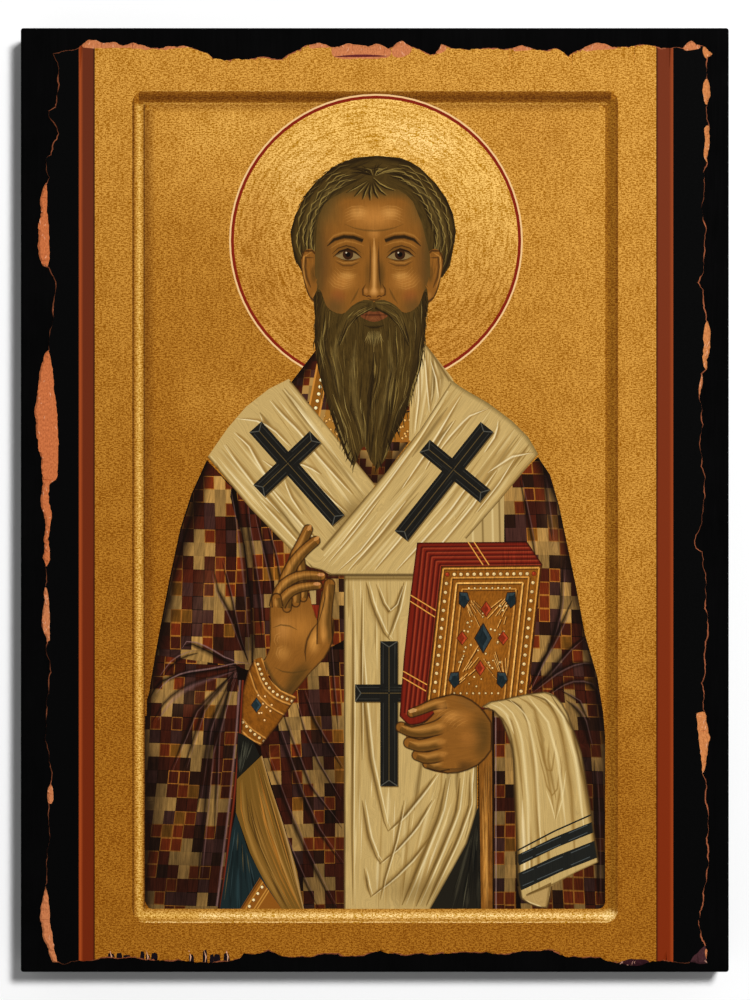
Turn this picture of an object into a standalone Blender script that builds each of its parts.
"""Icon panel: a black painted wooden board with a torn-edged paper picture pasted on its face.

The panel lies on its back: +Z comes out of the picture, +Y is the top of the picture and the
origin is the middle of the back, on the surface that the panel lies on. Lengths are in metres.
"""

import math
import random

import bpy

# Driving dimensions
BOARD_WIDTH = 0.180
BOARD_HEIGHT = 0.240
BOARD_THICKNESS = 0.016
ARRIS_WIDTH = 0.0006
ARRIS_SEGMENTS = 2
PAPER_THICKNESS = 0.0004
PASTE_GAP = 0.0003

# Bare black border left around the paper, measured to the furthest point that the paper
# reaches on each side.
BORDER_LEFT = 0.0036
BORDER_RIGHT = 0.0042
BORDER_TOP = 0.0030
BORDER_BOTTOM = 0.0017

# The tear is set out in pixels of the photograph: the rectangle that the paper just touches,
# and the points of its edge, clockwise from the top left corner.
SHEET_LEFT_PX = 35.0
SHEET_RIGHT_PX = 712.0
SHEET_TOP_PX = 39.8
SHEET_BOTTOM_PX = 965.7

TOP_TEAR = (
    (53, 54), (65, 51), (79, 48), (85, 43), (89, 40), (97, 40.5), (104, 43.5), (116, 42.5),
    (123, 46), (134, 43), (143, 45.5), (159, 49), (168, 46.5), (186, 46.5), (194, 49),
    (206, 53), (213, 59), (236, 59), (261, 57), (272, 59), (282, 59.5), (289, 54.5),
    (300, 50), (305, 46), (311, 45), (319, 43), (328, 46), (335, 47.5), (343, 45.5),
    (349, 43.5), (357, 45), (368, 47), (376, 44), (382, 45.5), (388, 49), (393, 47),
    (397, 43), (402, 41), (411, 47), (422, 51), (430, 55), (435, 54.5), (441, 44.5),
    (451, 48.5), (469, 50.5), (491, 48.5), (508, 49), (515, 47.5), (522, 45.5), (529, 47.5),
    (537, 50.5), (556, 48.5), (562, 52), (568, 57), (575, 52), (583, 48.5), (596, 43),
    (607, 45), (612, 47.5), (628, 47.5), (652, 46), (670, 48.5), (682, 48.5), (686, 44),
    (691, 41), (696, 45), (705, 47.5), (712, 54.5),
)
RIGHT_TEAR = (
    (707, 58), (706, 72), (710, 96), (706, 112), (709, 139), (707, 165), (703, 172),
    (704, 189), (700.5, 208), (706, 231), (705, 251), (703, 273), (698.5, 283), (703, 290),
    (704, 308), (706, 320), (710, 331), (709, 350), (706, 370), (701.5, 374), (699, 396),
    (702, 410), (703, 425), (701, 455), (705, 477), (705, 496), (701.5, 515), (699, 530),
    (694.5, 541), (696, 548), (702, 552), (706, 582), (705, 608), (707, 618), (705, 650),
    (701.5, 683), (703, 709), (706, 716), (710, 738), (706, 757), (702, 773), (706, 803),
    (707, 843), (707, 870), (703, 893), (703, 903), (698, 920), (701, 936), (707, 951),
)
BOTTOM_TEAR = (
    (706.5, 963), (690, 962), (674, 962), (658, 961), (646, 963), (634, 965.7), (622, 964),
    (610, 961.5), (600, 957.5), (580, 957.5), (566, 957), (558, 954), (552, 950.5),
    (536, 951), (518, 952), (495, 954), (486, 952), (474, 952.5), (459, 952.5), (446, 953.5),
    (428, 955), (403, 955.5), (386, 953), (380, 950.5), (371, 953), (364, 956), (340, 956),
    (338, 954), (312, 957), (292, 957.5), (281, 956), (275, 953), (268, 950.5), (262, 953),
    (244, 953), (240, 958.5), (230, 961), (219, 962), (202, 962), (178, 960), (158, 960),
    (140, 959), (118, 959), (96, 960), (79, 960.5), (65, 964.5),
)
LEFT_TEAR = (
    (53, 962), (49, 949), (43, 932), (40.5, 915), (43, 900), (45.5, 889), (46.5, 862),
    (49.5, 843), (49, 822), (48.5, 803), (50.5, 784), (51, 769), (49, 752), (45, 738),
    (47, 724), (46.5, 702), (48.5, 683), (50, 661), (46.5, 652), (45.5, 635), (42, 623),
    (43, 613), (45.5, 587), (46, 565), (43, 558), (44, 539), (45.5, 520), (41, 498),
    (42.5, 489), (42, 470), (38.5, 448), (36.5, 432), (35, 415), (38.5, 388), (41, 369),
    (45, 354), (49, 350), (50, 331), (53, 314), (54, 300),
)
# Left edge above the long patch of bare torn paper, up to the top left corner.
UPPER_LEFT_TEAR = (
    (56, 287), (49, 268), (43.5, 266), (38, 246), (38.5, 226), (41.5, 208), (44, 187),
    (49.5, 178), (46.5, 167), (46, 159), (51, 155), (53, 143.5), (58.5, 134), (57, 128),
    (49.5, 118), (49, 111), (55.5, 107), (58, 91), (57.5, 79), (59, 69), (54.5, 57),
)

# The tear between two of those points: it is halved until no piece is longer than the step,
# and each new point moves sideways by at most this share of its piece's length.
TEAR_STEP = 0.0018
TEAR_ROUGHNESS = 0.09
TEAR_SEED = 7

BLACK_PAINT = {"colour": (0.010, 0.010, 0.011), "roughness": 0.42, "metallic": 0.0}
PRINTED_PAPER = {"colour": (0.50, 0.29, 0.06), "roughness": 0.38, "metallic": 0.0}


def clear_scene():
    """Removes whatever objects the file holds."""
    for old in list(bpy.data.objects):
        bpy.data.objects.remove(old, do_unlink=True)


def make_material(name, finish):
    """A Principled material of one colour, roughness and metallic value."""
    material = bpy.data.materials.new(name)
    material.use_nodes = True
    shader = material.node_tree.nodes["Principled BSDF"]
    shader.inputs["Base Color"].default_value = (*finish["colour"], 1.0)
    shader.inputs["Roughness"].default_value = finish["roughness"]
    shader.inputs["Metallic"].default_value = finish["metallic"]
    return material


def on_board(point):
    """A pixel of the tear as a place on the board, so that the sheet keeps its borders."""
    across = (point[0] - SHEET_LEFT_PX) / (SHEET_RIGHT_PX - SHEET_LEFT_PX)
    down = (point[1] - SHEET_TOP_PX) / (SHEET_BOTTOM_PX - SHEET_TOP_PX)
    sheet_width = BOARD_WIDTH - BORDER_LEFT - BORDER_RIGHT
    sheet_height = BOARD_HEIGHT - BORDER_TOP - BORDER_BOTTOM
    x = BORDER_LEFT + across * sheet_width - BOARD_WIDTH / 2
    y = BOARD_HEIGHT / 2 - BORDER_TOP - down * sheet_height
    return x, y


def roughened(start, end, chance):
    """Points from start up to but not including end, along a line broken up like torn paper."""
    length = math.dist(start, end)
    if length <= TEAR_STEP:
        return [start]
    sideways = TEAR_ROUGHNESS * chance.uniform(-1, 1)
    middle = (
        (start[0] + end[0]) / 2 - sideways * (end[1] - start[1]),
        (start[1] + end[1]) / 2 + sideways * (end[0] - start[0]),
    )
    return roughened(start, middle, chance) + roughened(middle, end, chance)


def torn_outline():
    """The closed edge of the paper, clockwise, at real size."""
    chance = random.Random(TEAR_SEED)
    corners = [
        on_board(point)
        for side in (TOP_TEAR, RIGHT_TEAR, BOTTOM_TEAR, LEFT_TEAR, UPPER_LEFT_TEAR)
        for point in side
    ]
    outline = []
    for start, end in zip(corners, corners[1:] + corners[:1]):
        outline += roughened(start, end, chance)
    return outline


def make_board(collection):
    """The wooden board, lying on its back, with its sharp arrises taken off."""
    bpy.ops.mesh.primitive_cube_add(size=1.0)
    board = bpy.context.object
    board.name = "board"
    board.scale = (BOARD_WIDTH, BOARD_HEIGHT, BOARD_THICKNESS)
    bpy.ops.object.transform_apply(location=False, rotation=False, scale=True)
    board.location = (0, 0, BOARD_THICKNESS / 2)
    arris = board.modifiers.new("arris", "BEVEL")
    arris.width = ARRIS_WIDTH
    arris.segments = ARRIS_SEGMENTS
    board.data.materials.append(make_material("black_paint", BLACK_PAINT))
    move_to(board, collection)
    return board


def make_picture_sheet(collection):
    """The torn sheet: its flat outline, as thick as the paper, just clear of the board's face."""
    outline = torn_outline()
    curve = bpy.data.curves.new("picture_sheet", "CURVE")
    curve.dimensions = "2D"
    curve.fill_mode = "BOTH"
    curve.extrude = PAPER_THICKNESS / 2
    spline = curve.splines.new("POLY")
    spline.points.add(len(outline) - 1)
    for point, (x, y) in zip(spline.points, outline):
        point.co = (x, y, 0, 1)
    spline.use_cyclic_u = True
    sheet = bpy.data.objects.new("picture_sheet", curve)
    sheet.location = (0, 0, BOARD_THICKNESS + PASTE_GAP + PAPER_THICKNESS / 2)
    curve.materials.append(make_material("printed_paper", PRINTED_PAPER))
    collection.objects.link(sheet)
    return sheet


def move_to(piece, collection):
    """Takes a piece out of every collection and puts it in this one."""
    for old in list(piece.users_collection):
        old.objects.unlink(piece)
    collection.objects.link(piece)


def main():
    clear_scene()
    panel = bpy.data.collections.new("IconPanel")
    bpy.context.scene.collection.children.link(panel)
    make_board(panel)
    make_picture_sheet(panel)


main()
